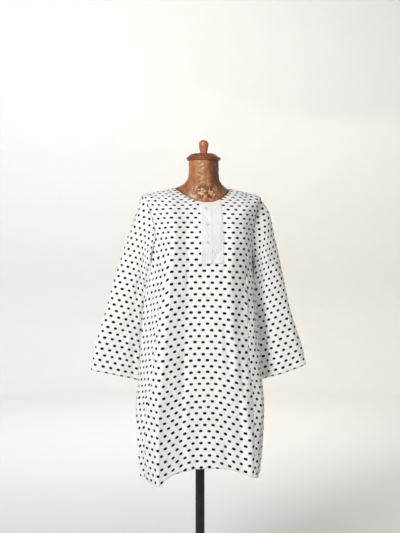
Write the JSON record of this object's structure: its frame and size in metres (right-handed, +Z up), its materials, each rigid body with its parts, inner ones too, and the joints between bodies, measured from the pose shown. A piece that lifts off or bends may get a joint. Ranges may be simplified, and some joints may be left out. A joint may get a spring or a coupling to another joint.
{
  "type": "dotted cotton pullover tunic on a limbless dress form stand",
  "caption": "Long-sleeved round-neck pullover tunic with a buttoned placket, worn by a limbless dress form on a pole and round base.",
  "frame": {"origin": "on the floor under the middle of the pole and the round base", "axes": "+Z up along the pole, the garment's front faces -Y, the wearer's right arm is at -X"},
  "size_m": [0.721, 0.37, 1.5616],
  "materials": {
    "dotted_cotton": "matt white woven cotton with small near-black oval dots",
    "plain_cotton": "matt plain white cotton",
    "button": "satin off-white",
    "varnished_paper": "old peeling varnish on papier mache",
    "turned_wood": "satin red-brown stain",
    "peg_wood": "satin orange-brown stain",
    "iron": "dark satin"
  },
  "bodies": {
    "root": {"front": "dotted_cotton", "back": "dotted_cotton", "side_panel_left": "dotted_cotton", "side_panel_right": "dotted_cotton", "sleeve_left": "dotted_cotton", "sleeve_right": "dotted_cotton", "placket_over": "plain_cotton", "placket_under": "plain_cotton", "button_1": "button", "button_2": "button", "button_3": "button", "form_body": "varnished_paper", "neck_cap": "turned_wood", "finial": "peg_wood", "pole": "iron", "base": "iron"}
  },
  "joints": []
}
